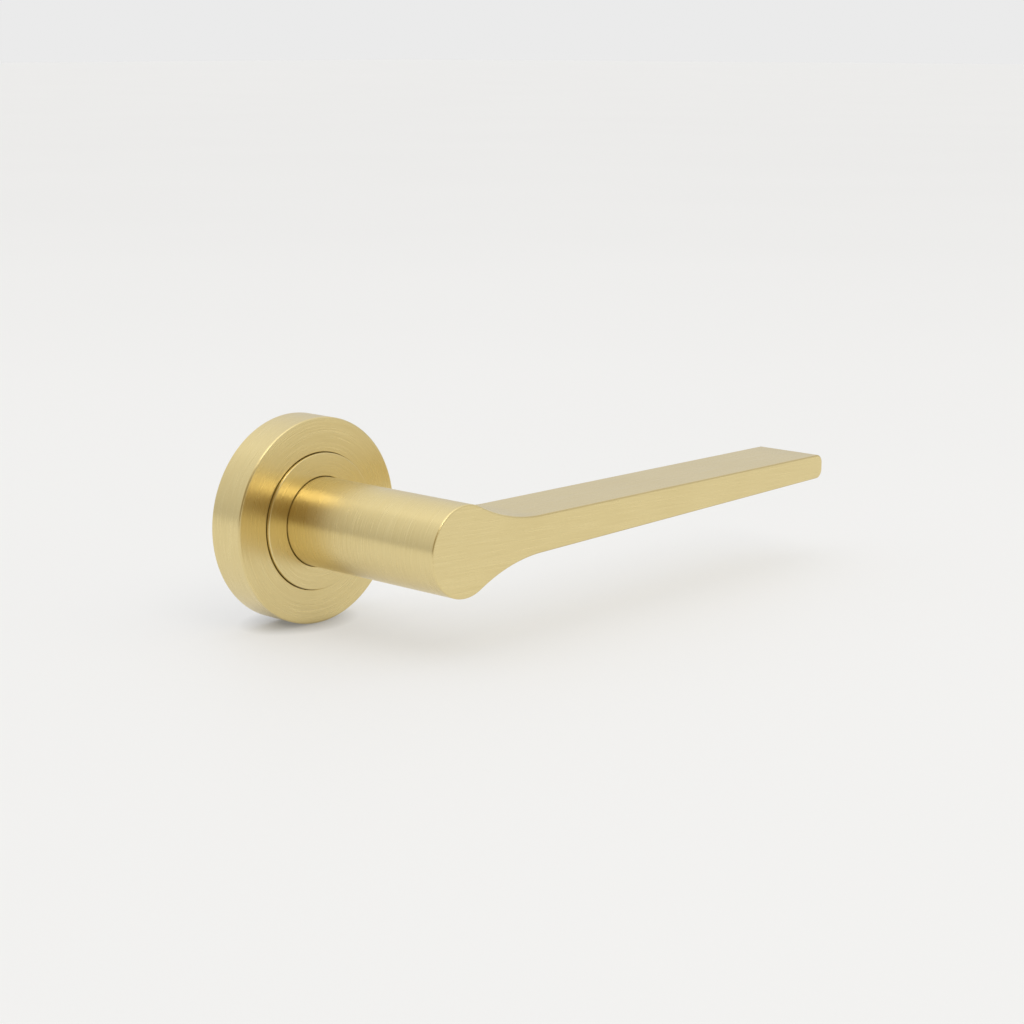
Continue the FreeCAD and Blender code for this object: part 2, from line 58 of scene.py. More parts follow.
Colour = tuple[float, float, float]
Corner = tuple[float, float, float]
Place = tuple[float, float, float]
Point = tuple[float, float]
Ring = list[bmesh.types.BMVert]
Socket = bpy.types.NodeSocket
Material = bpy.types.Material
Object = bpy.types.Object

MM = 0.001
CREASE = math.radians(32.0)
SQUARE = ((-1, -1), (1, -1), (1, 1), (-1, 1))
NOISE_RANGE = (0.3, 0.7)


class Grain(Enum):
    """Which way a brass face was brushed."""

    TURNED = "turned"
    DRAWN = "drawn"


class Body(Enum):
    """The handle's moving bodies, by the names the joints use."""

    ROSE = "rose"
    LEVER = "lever"
    COVER = "cover"


class Patch(IntEnum):
    """The lever casting's material slots."""

    BLADE = 0
    NECK = 1
    STEEL = 2


class Slot(Enum):
    """The finishes that the record lists."""

    BRASS = "satin_brass"
    ZINC = "zinc_casting"
    ACETAL = "white_acetal"
    STEEL = "bright_steel"
    SPRING = "spring_steel"


# ---- finishes


class Graph:
    """A node tree in the making, of a material or of the world."""

    def __init__(self, owner: bpy.types.ID) -> None:
        """Starts with an empty tree.

        Args:
            owner: the material or world that the tree belongs to.
        """
        owner.use_nodes = True
        self.tree = owner.node_tree
        self.tree.nodes.clear()

    def node(self, kind: str, *terms: object, **settings: object) -> bpy.types.Node:
        """Adds a node, sets its options and feeds its first inputs.

        Args:
            kind: the node's type name.
            terms: sockets or plain values for its inputs, in order.
            settings: attribute values of the node.

        Returns:
            The new node.
        """
        made = self.tree.nodes.new(kind)
        for key, value in settings.items():
            setattr(made, key, value)
        for socket, value in zip(made.inputs, terms):
            self.feed(socket, value)
        return made

    def join(self, source: Socket, target: Socket) -> None:
        """Links one socket to another."""
        self.tree.links.new(source, target)

    def feed(self, target: Socket, value: object) -> None:
        """Gives a socket a link or a plain value.

        Args:
            target: the input socket.
            value: another node's output socket, a number or a tuple.
        """
        if isinstance(value, Socket):
            self.join(value, target)
        else:
            target.default_value = value

    def maths(self, operation: str, *terms: object) -> Socket:
        """Returns the result of a Math node's operation on sockets and plain values."""
        return self.node("ShaderNodeMath", *terms, operation=operation).outputs[0]

    def arrows(self, operation: str, *terms: object) -> bpy.types.Node:
        """Returns a Vector Math node, whose result may be a vector or a value."""
        return self.node("ShaderNodeVectorMath", *terms, operation=operation)

    def times(self, first: object, second: object) -> Socket:
        """Returns the product of two numbers or sockets."""
        return self.maths("MULTIPLY", first, second)

    def split(self, vector: Socket) -> list[Socket]:
        """Returns a vector's X, Y and Z sockets."""
        return list(self.node("ShaderNodeSeparateXYZ", vector).outputs)

    def gather(self, *parts: object) -> Socket:
        """Returns a vector made of three numbers or sockets."""
        return self.node("ShaderNodeCombineXYZ", *parts).outputs[0]

    def choose(self, factor: object, first: object, second: object, kind: str = "FLOAT") -> Socket:
        """Mixes two values.

        Args:
            factor: 0 for the first value, 1 for the second.
            first: a socket or a value.
            second: a socket or a value.
            kind: FLOAT, VECTOR or RGBA.

        Returns:
            The mixed value's socket.
        """
        made = self.node("ShaderNodeMix", data_type=kind)
        ends = {"FLOAT": (2, 3, 0), "VECTOR": (4, 5, 1), "RGBA": (6, 7, 2)}[kind]
        self.feed(made.inputs[0], factor)
        self.feed(made.inputs[ends[0]], first)
        self.feed(made.inputs[ends[1]], second)
        return made.outputs[ends[2]]

    def tint(self, factor: object, first: object, second: object) -> Socket:
        """Mixes two colours.

        Args:
            factor: 0 for the first colour, 1 for the second.
            first: a socket or a colour.
            second: a socket or a colour.

        Returns:
            The mixed colour's socket.
        """
        ends = (end if isinstance(end, Socket) else (*end, 1.0) for end in (first, second))
        return self.choose(factor, *ends, "RGBA")

    def noise(
        self, place: object, scale: float, detail: float = 2.0, rough: float = 0.5
    ) -> Socket:
        """Reads cloudy noise between 0 and 1 at a place.

        Args:
            place: the vector to read it at.
            scale: cells for each unit of that vector.
            detail: how many finer layers it has.
            rough: how strong the finer layers are.

        Returns:
            The noise's socket.
        """
        made = self.node("ShaderNodeTexNoise")
        self.feed(made.inputs["Vector"], place)
        made.inputs["Scale"].default_value = scale
        made.inputs["Detail"].default_value = detail
        made.inputs["Roughness"].default_value = rough
        return made.outputs["Fac"]

    def spread(
        self, value: object, low: float, high: float, start: float = 0.0, end: float = 1.0
    ) -> Socket:
        """Returns a value whose range start to end is mapped onto low to high, and clamped."""
        return self.node("ShaderNodeMapRange", value, start, end, low, high).outputs[0]


class Recipe(Graph):
    """Builds one procedural material, node by node."""

    def __init__(self, name: str) -> None:
        """Starts a material with an empty shader.

        Args:
            name: the material's name.
        """
        self.material = bpy.data.materials.new(name)
        super().__init__(self.material)
        self.shader = self.node("ShaderNodeBsdfPrincipled")
        self.node("ShaderNodeOutputMaterial", self.shader.outputs["BSDF"])
        here = self.node("ShaderNodeTexCoord")
        self.place = here.outputs["Object"]
        self.facing = here.outputs["Normal"]

    def relief(self, height: Socket, strength: float, depth: float) -> None:
        """Gives the surface a fine relief.

        Args:
            height: the relief's height, 0 to 1.
            strength: its strength, 0 to 1.
            depth: its full height in metres.
        """
        made = self.node("ShaderNodeBump")
        made.inputs["Strength"].default_value = strength
        made.inputs["Distance"].default_value = depth
        self.join(height, made.inputs["Height"])
        self.join(made.outputs["Normal"], self.shader.inputs["Normal"])

    def lines(self, place: Socket) -> Socket:
        """Returns the noise of brushed lines at a place that is stretched along them."""
        return self.noise(place, 1.0, 3.0, 0.6)

    def set(self, **values: object) -> None:
        """Sets the shader's own sockets, named with _ for a space."""
        for key, value in values.items():
            self.feed(self.shader.inputs[key.replace("_", " ")], value)


@dataclass(frozen=True)
class BrushedBrass:
    """Lacquered brass, finely brushed one way."""

    name: str
    grain: Grain
    pale: Colour = (0.85, 0.71, 0.365)
    deep: Colour = (0.72, 0.58, 0.265)
    rough_low: float = 0.25
    rough_high: float = 0.35
    anisotropy: float = 0.62
    lines: float = 5200.0
    side_run: float = 130.0
    face_run: float = 60.0
    slant: float = 0.05
    contrast: float = 1.0
    lacquer: float = 0.35
    lacquer_rough: float = 0.3
    flat_from: float = 0.7
    broad_scale: float = 60.0
    broad_share: float = 0.4
    tone_range: Point = (0.3, 1.1)
    relief: Point = (0.2, 0.012 * MM)
    # Painted shade: a brown that darkens the rounding between the blade's front and its sides, standing
    # in for the darker reflection there; it fades in along the blade.
    painted_edge_shade: Colour = (0.40, 0.27, 0.09)
    edge_shade_from: float = 0.0
    edge_shade_fade: float = 12 * MM
    edge_shade_share: float = 0.0
    side_band: Point = (0.1, 0.35)
    front_band: Point = (0.88, 0.99)

    def material(self) -> Material:
        """Returns the brass, its grain following the face it lies on."""
        mix = Recipe(self.name)
        x, y, z = mix.split(mix.place)
        upright = mix.split(mix.facing)[1]
        flat = mix.maths("GREATER_THAN", mix.maths("ABSOLUTE", upright), self.flat_from)
        if self.grain is Grain.TURNED:
            squares = mix.times(x, x), mix.times(z, z)
            across_face = mix.maths("SQRT", mix.maths("ADD", *squares))
            shares = [mix.maths("DIVIDE", part, across_face) for part in (x, z)]
            spread_face = mix.gather(shares[0], 0.0, shares[1])
        else:
            across_face = mix.maths("ADD", z, mix.times(x, self.slant))
            spread_face = mix.gather(0.0, 0.0, 1.0)
        across = mix.choose(flat, y, across_face)
        run = mix.choose(flat, self.side_run, self.face_run)
        streak_place = mix.gather(
            mix.times(x, run),
            mix.times(z, run),
            mix.times(across, self.lines),
        )
        streaks = mix.lines(streak_place)
        broad = mix.noise(mix.place, self.broad_scale)
        mottled = mix.maths("ADD", streaks, mix.times(broad, self.broad_share))
        half = self.contrast / 2
        tone = mix.spread(mottled, 0.5 - half, 0.5 + half, *self.tone_range)
        colour = mix.tint(tone, self.deep, self.pale)
        # Painted shade on the blade's edge rounding, mixed into the colour.
        if self.edge_shade_share > 0.0:
            colour = mix.tint(self.edge_shade_mask(mix, x, upright), colour, self.painted_edge_shade)
        rough = mix.spread(streaks, self.rough_high, self.rough_low, *NOISE_RANGE)
        spread_way = mix.choose(flat, (0.0, 1.0, 0.0), spread_face, "VECTOR")
        options = {"vector_type": "VECTOR", "convert_from": "OBJECT", "convert_to": "WORLD"}
        turn = mix.node("ShaderNodeVectorTransform", spread_way, **options)
        mix.set(Base_Color=colour, Metallic=1.0, Roughness=rough)
        mix.set(Anisotropic=self.anisotropy, Tangent=turn.outputs[0])
        mix.set(Coat_Weight=self.lacquer, Coat_Roughness=self.lacquer_rough)
        mix.relief(streaks, *self.relief)
        return mix.material

    def edge_shade_mask(self, mix: Recipe, x: Socket, upright: Socket) -> Socket:
        """Works out where the narrow rounding between the blade's front and its sides takes its painted
        shade.

        Args:
            mix: the material in the making.
            x: the place along the lever.
            upright: how squarely the surface faces front or back.

        Returns:
            The share of painted edge shade, 0 to 1.
        """
        tilt = mix.maths("ABSOLUTE", upright)
        off_side = mix.spread(tilt, 0.0, 1.0, *self.side_band)
        off_front = mix.spread(tilt, 1.0, 0.0, *self.front_band)
        edge_shade_to = self.edge_shade_from + self.edge_shade_fade
        along = mix.spread(x, 0.0, self.edge_shade_share, self.edge_shade_from, edge_shade_to)
        return mix.times(mix.times(off_side, off_front), along)


@dataclass(frozen=True)
class CastZinc:
    """Zinc alloy as it leaves the mould: grey, slightly mottled and grainy."""

    name: str = "cast_zinc"
    light: Colour = (0.50, 0.50, 0.51)
    dark: Colour = (0.36, 0.36, 0.38)
    cloud_scale: float = 180.0
    grit_scale: float = 2500.0
    metal: float = 0.9
    rough_range: Point = (0.42, 0.62)
    relief: Point = (0.35, 0.03 * MM)

    def material(self) -> Material:
        """Returns the casting's finish."""
        mix = Recipe(self.name)
        clouds = mix.noise(mix.place, self.cloud_scale, 4.0, 0.6)
        grit = mix.noise(mix.place, self.grit_scale)
        colour = mix.tint(mix.spread(clouds, 0.0, 1.0, *NOISE_RANGE), self.dark, self.light)
        rough = mix.spread(grit, *self.rough_range)
        mix.set(Base_Color=colour, Metallic=self.metal, Roughness=rough)
        mix.relief(grit, *self.relief)
        return mix.material


@dataclass(frozen=True)
class MilledSteel:
    """Plated or oiled steel with the drawing lines of its stock."""

    name: str
    light: Colour
    dark: Colour
    roughness: float = 0.3
    smoother: float = 0.06
    rougher: float = 0.1
    anisotropy: float = 0.3
    across_scale: float = 2400.0
    along_scale: float = 120.0
    cloud_scale: float = 220.0
    relief: Point = (0.2, 0.01 * MM)

    def material(self) -> Material:
        """Returns the steel's finish."""
        mix = Recipe(self.name)
        scales = (self.across_scale, self.along_scale, self.across_scale)
        parts = zip(mix.split(mix.place), scales)
        lines = mix.lines(mix.gather(*(mix.times(*part) for part in parts)))
        clouds = mix.noise(mix.place, self.cloud_scale, 3.0)
        colour = mix.tint(mix.spread(clouds, 0.0, 1.0, *NOISE_RANGE), self.dark, self.light)
        low, high = self.roughness - self.smoother, self.roughness + self.rougher
        rough = mix.spread(lines, low, high, *NOISE_RANGE)
        mix.set(Base_Color=colour, Metallic=1.0, Roughness=rough, Anisotropic=self.anisotropy)
        mix.relief(lines, *self.relief)
        return mix.material


@dataclass(frozen=True)
class MouldedAcetal:
    """Off-white moulded bearing plastic, slightly waxy."""

    name: str = "moulded_acetal"
    light: Colour = (0.84, 0.82, 0.77)
    dark: Colour = (0.74, 0.72, 0.66)
    cloud_scale: float = 300.0
    rough_range: Point = (0.38, 0.5)
    milkiness: float = 0.1
    grain_scale: float = 3000.0
    relief: Point = (0.15, 0.01 * MM)

    def material(self) -> Material:
        """Returns the plastic's finish."""
        mix = Recipe(self.name)
        clouds = mix.noise(mix.place, self.cloud_scale, 3.0)
        mix.set(Base_Color=mix.tint(clouds, self.dark, self.light))
        mix.set(Roughness=mix.spread(clouds, *self.rough_range))
        mix.set(Subsurface_Weight=self.milkiness)
        grain = mix.noise(mix.place, self.grain_scale)
        mix.relief(grain, *self.relief)
        return mix.material


@dataclass(frozen=True)
class PaleFloor:
    """The translucent white sheet that the handle stands on, lit faintly from below; its glow is dimmed
    under the rose as a painted contact shadow.
    """

    name: str = "pale_floor"
    light: Colour = (0.385, 0.385, 0.384)
    dark: Colour = (0.365, 0.365, 0.364)
    glow: float = 0.495
    glow_tint: Colour = (1.0, 1.0, 0.993)
    far_drop: float = 0.015
    far_range: Point = (0.25, 1.1)
    # Painted contact shadow: where and how deeply the glow dims under the rose's lowest point.
    contact_shadow_centre: Place = (-2 * MM, -4 * MM, 0.0)
    contact_shadow_reach: Place = (17 * MM, 13 * MM, 1.0)
    contact_shadow_range: Point = (0.3, 1.0)
    contact_shadow_glow: float = 0.32
    cloud_scale: float = 3.0
    roughness: float = 0.6
    shine: float = 0.2

    def material(self) -> Material:
        """Returns the sheet's finish."""
        mix = Recipe(self.name)
        clouds = mix.noise(mix.place, self.cloud_scale)
        mix.set(Base_Color=mix.tint(clouds, self.dark, self.light))
        mix.set(Roughness=self.roughness, Specular_IOR_Level=self.shine)
        radius = mix.arrows("LENGTH", mix.place).outputs["Value"]
        fade = mix.spread(radius, self.glow, self.glow - self.far_drop, *self.far_range)
        # Painted contact shadow: the glow dims in a patch round the rose's contact with the sheet.
        offset = mix.arrows("SUBTRACT", mix.place, self.contact_shadow_centre).outputs[0]
        scaled = mix.arrows("DIVIDE", offset, self.contact_shadow_reach).outputs[0]
        apart = mix.arrows("LENGTH", scaled).outputs["Value"]
        painted_contact_shadow = mix.spread(apart, self.contact_shadow_glow, 1.0, *self.contact_shadow_range)
        mix.set(Emission_Color=(*self.glow_tint, 1.0))
        mix.set(Emission_Strength=mix.times(fade, painted_contact_shadow))
        return mix.material


# ---- shapes


def circle(count: int) -> list[float]:
    """Returns the angles of a full circle in equal steps."""
    return [2 * pi * step / count for step in range(count)]


def keep_creases(mesh: bmesh.types.BMesh) -> None:
    """Keeps the sharply turning edges of a mesh crisp.

    Args:
        mesh: the mesh in the making.
    """
    for edge in mesh.edges:
        if edge.is_manifold and edge.calc_face_angle(0.0) > CREASE:
            edge.smooth = False


def stand(name: str, mesh: bmesh.types.BMesh) -> Object:
    """Puts a finished mesh in the scene.

    Args:
        name: the new object's name.
        mesh: the mesh, which is used up.

    Returns:
        The new object.
    """
    data = bpy.data.meshes.new(name)
    mesh.to_mesh(data)
    mesh.free()
    made = bpy.data.objects.new(name, data)
    bpy.context.scene.collection.objects.link(made)
    return made


@dataclass
class Skin:
    """A mesh made of rings of points, each joined to the next by a band of quads."""

    name: str
    mesh: bmesh.types.BMesh = field(default_factory=bmesh.new)

    def ring(self, points: list[Vector]) -> Ring:
        """Adds a ring's vertices and returns them."""
        return [self.mesh.verts.new(point) for point in points]

    def band(self, first: Ring, second: Ring, slot: int = 0) -> None:
        """Joins two rings of equal length by quads.

        Args:
            first: one ring.
            second: the next ring.
            slot: the material slot of the band.
        """
        count = len(first)
        for place in range(count):
            after = (place + 1) % count
            face = self.mesh.faces.new((first[place], first[after], second[after], second[place]))
            face.smooth = True
            face.material_index = slot

    def cap(self, ring: Ring, slot: int = 0) -> None:
        """Closes a flat ring with one face.

        Args:
            ring: the ring.
            slot: the material slot of the face.
        """
        face = self.mesh.faces.new(ring)
        face.smooth = False
        face.material_index = slot

    def tube(self, rings: list[Ring], slot: int = 0) -> None:
        """Joins rings in turn and closes both ends.

        Args:
            rings: the rings in order.
            slot: the material slot of all the faces.
        """
        for first, second in zip(rings, rings[1:]):
            self.band(first, second, slot)
        self.cap(rings[0], slot)
        self.cap(rings[-1], slot)

    def finish(self, body: Body, slot: Slot, *materials: Material) -> Object:
        """Turns the rings into a piece that rides on a body.

        Args:
            body: the body that it moves with.
            slot: the record's finish meant for it; not used.
            materials: its materials, in slot order.

        Returns:
            The new piece.
        """
        bmesh.ops.remove_doubles(self.mesh, verts=self.mesh.verts, dist=0.0002 * MM)
        bmesh.ops.recalc_face_normals(self.mesh, faces=self.mesh.faces)
        keep_creases(self.mesh)
        piece = stand(self.name, self.mesh)
        for material in materials:
            piece.data.materials.append(material)
        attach(piece, body.value)
        LOG.info("%s: %d faces", self.name, len(piece.data.polygons))
        return piece


def soften(corners: list[Corner], steps: int = 5, support: float = 0.25) -> list[Point]:
    """Rounds a closed section's corners.

    Args:
        corners: across, up and rounding radius of each corner, in order round the section.
        steps: points in each rounded corner, less one.
        support: how far outside a rounding its support point lies, in radii.

    Returns:
        The section's points, with a support point just outside each rounding.
    """
    points: list[Point] = []
    count = len(corners)
    for place, (across, up, radius) in enumerate(corners):
        here = Vector((across, up))
        if radius <= 0.0:
            points.append((across, up))
            continue
        back = (Vector(corners[place - 1][:2]) - here).normalized()
        ahead = (Vector(corners[(place + 1) % count][:2]) - here).normalized()
        half = back.angle(ahead) / 2
        reach = radius / math.tan(half)
        centre = here + (back + ahead).normalized() * (radius / sin(half))
        start, end = here + back * reach, here + ahead * reach
        points.append(tuple(start + back * radius * support))
        for step in range(steps + 1):
            arm = (start - centre).normalized().slerp((end - centre).normalized(), step / steps)
            points.append(tuple(centre + arm * radius))
        points.append(tuple(end + ahead * radius * support))
    return points


def turned(
    name: str, corners: list[Corner], around: int = 192, waves: int = 0, lift: float = 0.0
) -> Skin:
    """Revolves a closed section of (depth, radius, rounding) corners about the rose's axis.

    Args:
        name: the piece's name.
        corners: the section's corners, in order.
        around: how many steps the circle has.
        waves: how many waves the ring has along its circle.
        lift: how far a wave goes out of flat.

    Returns:
        The skin, ready to finish.
    """
    skin = Skin(name)
    rings = []
    for depth, radius in soften(corners):
        rings.append(skin.ring([
            Vector((
                radius * cos(angle),
                -(depth + lift * cos(waves * angle)),
                radius * sin(angle),
            ))
            for angle in circle(around)
        ]))
    for place, ring in enumerate(rings):
        skin.band(ring, rings[(place + 1) % len(rings)])
    return skin


def wire(
    name: str, path: list[Vector], radius: float, around: int = 20, softness: float = 0.2
) -> Skin:
    """Sweeps a round wire with slightly softened ends along a path.

    Args:
        name: the piece's name.
        path: the wire's centre line.
        radius: the wire's radius.
        around: how many sides the wire has.
        softness: how far its ends are softened, in radii.

    Returns:
        The skin, ready to finish.
    """
    skin = Skin(name)
    soft = radius * softness
    end = len(path) - 1
    ahead = [(path[min(i + 1, end)] - path[max(i - 1, 0)]).normalized() for i in range(end + 1)]
    side = ahead[0].orthogonal().normalized()
    stations = []
    for place, aim in zip(path, ahead):
        side = (side - aim * side.dot(aim)).normalized()
        stations.append((place, side, aim.cross(side), radius))
    first, last = stations[0], stations[-1]
    stations[0] = (first[0] + ahead[0] * soft, *first[1:])
    stations[-1] = (last[0] - ahead[-1] * soft, *last[1:])
    stations = [(*first[:3], radius - soft), *stations, (*last[:3], radius - soft)]
    skin.tube([
        skin.ring([
            place + (across * cos(angle) + up * sin(angle)) * reach
            for angle in circle(around)
        ])
        for place, across, up, reach in stations
    ])
    return skin


def block(name: str, corners: list[Vector], along: Vector, slot: int = 0) -> Object:
    """Makes a straight-sided cutter.

    Args:
        name: the cutter's name.
        corners: its end outline.
        along: the way and length that the outline is carried.
        slot: the material slot that its faces leave behind.

    Returns:
        The cutter.
    """
    skin = Skin(name)
    skin.tube([skin.ring(corners), skin.ring([corner + along for corner in corners])], slot)
    bmesh.ops.recalc_face_normals(skin.mesh, faces=skin.mesh.faces)
    return stand(name, skin.mesh)


def bore_out(piece: Object, cutters: list[Object]) -> None:
    """Cuts holes in a finished piece and throws the cutters away.

    Args:
        piece: the piece to cut.
        cutters: the shapes to take out of it.
    """
    for cutter in cutters:
        cut = piece.modifiers.new(cutter.name, "BOOLEAN")
        cut.operation, cut.solver, cut.object = "DIFFERENCE", "EXACT", cutter
    ready = piece.evaluated_get(bpy.context.evaluated_depsgraph_get())
    mesh = bmesh.new()
    mesh.from_mesh(ready.to_mesh())
    ready.to_mesh_clear()
    piece.modifiers.clear()
    keep_creases(mesh)
    mesh.to_mesh(piece.data)
    mesh.free()
    for cutter in cutters:
        bpy.data.meshes.remove(cutter.data)


# ---- the rose


@dataclass
class Rose:
    """The round rose: cover, proud collar ring and the casting behind them."""

    brass: Material
    wall: float = 1.5 * MM
    face: float = 1.5 * MM
    hole: float = 17.36 * MM
    outer_round: float = 0.45 * MM
    inner_round: float = 0.15 * MM
    cup_round: float = 0.5 * MM
    collar_face: float = 1.0 * MM
    collar_hole: float = 11.4 * MM
    collar_inner: float = 16.0 * MM
    collar_round: float = 0.25 * MM

    def build(self) -> None:
        """Builds the rose's brass pieces."""
        self.cover()
        self.collar()

    def cover(self) -> None:
        """Builds the pressed cover: a shallow cup with softened rims."""
        low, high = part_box("rose_cover")
        radius, depth = high.z, -low.y
        inside = radius - self.wall
        skin = turned("cover_cup", [
            (0.0, inside, 0.0),
            (0.0, radius, self.inner_round),
            (depth, radius, self.outer_round),
            (depth, self.hole, self.inner_round),
            (depth - self.face, self.hole, self.inner_round),
            (depth - self.face, inside, self.cup_round),
        ])
        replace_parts(skin.finish(Body.COVER, Slot.BRASS, self.brass), "rose_cover")

    def collar(self) -> None:
        """Builds the collar ring around the neck."""
        low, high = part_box("collar_ring")
        front, back = -low.y, -high.y
        skin = turned("collar_cap", [
            (front - self.collar_face, self.collar_hole, 0.0),
            (front, self.collar_hole, self.inner_round),
            (front, high.z, self.collar_round),
            (back, high.z, 0.0),
            (back, self.collar_inner, 0.0),
            (front - self.collar_face, self.collar_inner, 0.0),
        ])
        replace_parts(skin.finish(Body.ROSE, Slot.BRASS, self.brass), "collar_ring")


# ---- the lever


@dataclass
class LeverCasting:
    """The lever: a round neck whose end flares into a straight, slightly tapered blade."""

    neck_brass: Material
    blade_brass: Material
    steel: Material
    blade_depth: float = 20.0 * MM
    end_half: float = 3.3 * MM
    end_round: float = 2.4 * MM
    flare_radius: float = 49.0 * MM
    flare_centre: float = 27.3 * MM
    edge_round: float = 0.4 * MM
    neck_start: float = 9.4 * MM
    journal_radius: float = 8.0 * MM
    journal_flat: float = 6.95 * MM
    flat_depth: float = 3.5 * MM
    bevel_steps: int = 4
    bevel_support: float = 1.4
    neck_soft: float = 0.3 * MM
    clip_groove: Point = (0.9 * MM, 1.9 * MM)
    groove_radius: float = 7.6 * MM
    socket_half: float = 4.05 * MM
    socket_depth: float = 30.0 * MM
    grub_radius: float = 2.5 * MM
    grub_depth: float = 22.0 * MM
    grub_start: float = 2.0 * MM
    grub_sides: int = 48
    head_steps: int = 120
    inner_steps: int = 28
    flare_steps: int = 36
    edge_steps: int = 12
    corner_steps: int = 10
    runout: int = 10
    outline: list[Vector] = field(default_factory=list)
    outward: list[Vector] = field(default_factory=list)

    def __post_init__(self) -> None:
        """Reads the lever's overall sizes from its solid."""
        low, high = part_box("lever_handle")
        self.neck_radius = high.z
        self.projection = -low.y
        self.rear = self.projection - self.blade_depth
        self.blade_end = high.x
        self.journal_start = -high.y

    def build(self) -> None:
        """Builds the lever's casting as one piece."""
        self.draw_outline()
        skin = Skin("lever_casting")
        back_ring = self.sides(skin)
        self.neck(skin, back_ring)
        piece = skin.finish(Body.LEVER, Slot.BRASS, self.blade_brass, self.neck_brass, self.steel)
        bore_out(piece, [self.socket_cutter(), self.grub_cutter()])
        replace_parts(piece, "lever_handle")

    def socket_cutter(self) -> Object:
        """Makes the cutter for the square spindle socket.

        Returns:
            The cutter.
        """
        half = self.socket_half
        corners = [Vector((x * half, 0.0, z * half)) for x, z in SQUARE]
        return block("socket", corners, Vector((0.0, -self.socket_depth, 0.0)), Patch.STEEL)

    def grub_cutter(self) -> Object:
        """Makes the cutter for the grub screw's hole in the neck's underside.

        Returns:
            The cutter.
        """
        radius, depth, start = self.grub_radius, self.grub_depth, -self.grub_start
        corners = [
            Vector((radius * cos(angle), radius * sin(angle) - depth, start))
            for angle in circle(self.grub_sides)
        ]
        return block("grub_hole", corners, Vector((0.0, 0.0, -self.neck_radius)), Patch.STEEL)

    def add_point(self, place: Vector, way: Vector) -> None:
        """Adds an outline point and the direction that faces out of the metal there."""
        self.outline.append(place)
        self.outward.append(way.normalized())

    def draw_outline(self) -> None:
        """Lays out the lever's front view: head arc, flare, edge and rounded end, all round."""
        rise = math.sqrt((self.neck_radius + self.flare_radius) ** 2 - self.flare_centre ** 2)
        self.root = math.atan2(rise, self.flare_centre)
        upper = self.half_outline(Vector((self.flare_centre, rise)))
        sweep = 2 * pi - 2 * self.root
        for step in range(self.head_steps + 1):
            angle = self.root + sweep * step / self.head_steps
            way = Vector((cos(angle), sin(angle)))
            self.add_point(way * self.neck_radius, way)
        self.head_count = len(self.outline)
        for place, way in upper:
            self.add_point(Vector((place.x, -place.y)), Vector((way.x, -way.y)))
        for place, way in reversed(upper[:-1]):
            self.add_point(place, way)

    def half_outline(self, centre: Vector) -> list[tuple[Vector, Vector]]:
        """Lays out the upper half of the blade, from its root to the middle of its end.

        Args:
            centre: the flare arc's centre.

        Returns:
            Points with the directions that face out of the metal.
        """
        corner = Vector((self.blade_end, self.end_half))
        reach = (centre - corner).length
        along = math.sqrt(reach ** 2 - self.flare_radius ** 2)
        aim = (centre - corner).normalized()
        side = Vector((-aim.y, aim.x))
        join = corner + (aim * along + side * self.flare_radius) * (along / reach)
        points = []
        first = self.root + pi
        last = math.atan2(join.y - centre.y, join.x - centre.x) % (2 * pi)
        for step in range(1, self.flare_steps + 1):
            angle = first + (last - first) * step / self.flare_steps
            arm = Vector((cos(angle), sin(angle)))
            points.append((centre + arm * self.flare_radius, -arm))
        points += self.blade_edge(join, corner)
        return points

    def blade_edge(self, join: Vector, corner: Vector) -> list[tuple[Vector, Vector]]:
        """Lays out the straight edge and the rounded end, to the end's middle.

        Args:
            join: where the flare ends.
            corner: the blade's corner before rounding.

        Returns:
            Points with the directions that face out of the metal.
        """
        run = (corner - join).normalized()
        up = Vector((-run.y, run.x))
        slope = run.y / run.x
        round_x = corner.x - self.end_round
        round_y = corner.y + slope * (round_x - corner.x) - self.end_round * math.sqrt(1 + slope ** 2)
        middle = Vector((round_x, round_y))
        leave = middle + up * self.end_round
        steps = range(1, self.edge_steps)
        points = [(join.lerp(leave, step / self.edge_steps), up) for step in steps]
        first = math.atan2(up.y, up.x)
        for step in range(self.corner_steps + 1):
            angle = first * (1 - step / self.corner_steps)
            arm = Vector((cos(angle), sin(angle)))
            points.append((middle + arm * self.end_round, arm))
        points.append((Vector((corner.x, 0.0)), Vector((1.0, 0.0))))
        return points

    def level(self, skin: Skin, depth: float, inset: float, back: bool = False) -> Ring:
        """Adds the outline as a ring at one depth.

        Args:
            skin: the skin to add to.
            depth: the ring's depth, or for a back ring its depth at full rounding.
            inset: how far the outline steps in.
            back: whether the step dies away at the blade's root, where the neck carries on.

        Returns:
            The ring's vertices.
        """
        ring = []
        for place, (point, way) in enumerate(zip(self.outline, self.outward)):
            share = self.back_share(place) if back else 1.0
            spot = point - way * (inset * share)
            ring.append(Vector((spot.x, -(self.rear + (depth - self.rear) * share), spot.y)))
        return skin.ring(ring)

    def back_share(self, place: int) -> float:
        """Works out how much of the back rounding an outline point has.

        Args:
            place: the point's number in the outline.

        Returns:
            Its share, from 0 to 1.
        """
        from_start = place - (self.head_count - 1)
        to_end = len(self.outline) - place
        return min(max(min(from_start, to_end), 0), self.runout) / self.runout

    def sides(self, skin: Skin) -> Ring:
        """Builds the front face, the sides and the back rounding.

        Returns:
            The innermost back ring, which the back face and the neck start from.
        """
        rear, front, radius = self.rear, self.projection, self.edge_round
        support = radius * self.bevel_support
        turns = [pi / 2 * step / self.bevel_steps for step in range(self.bevel_steps + 1)]
        bevel = [(radius * (1 - sin(turn)), radius * (1 - cos(turn))) for turn in turns]
        rings = [self.level(skin, rear + drop, inset, True) for drop, inset in bevel]
        rings.reverse()
        rings.append(self.level(skin, rear + support, 0.0, True))
        rings.append(self.level(skin, front - support, 0.0))
        rings += [self.level(skin, front - drop, inset) for drop, inset in bevel]
        rings.append(self.level(skin, front, support))
        for first, second in zip(rings, rings[1:]):
            skin.band(first, second)
        skin.cap(rings[-1])
        return rings[0]

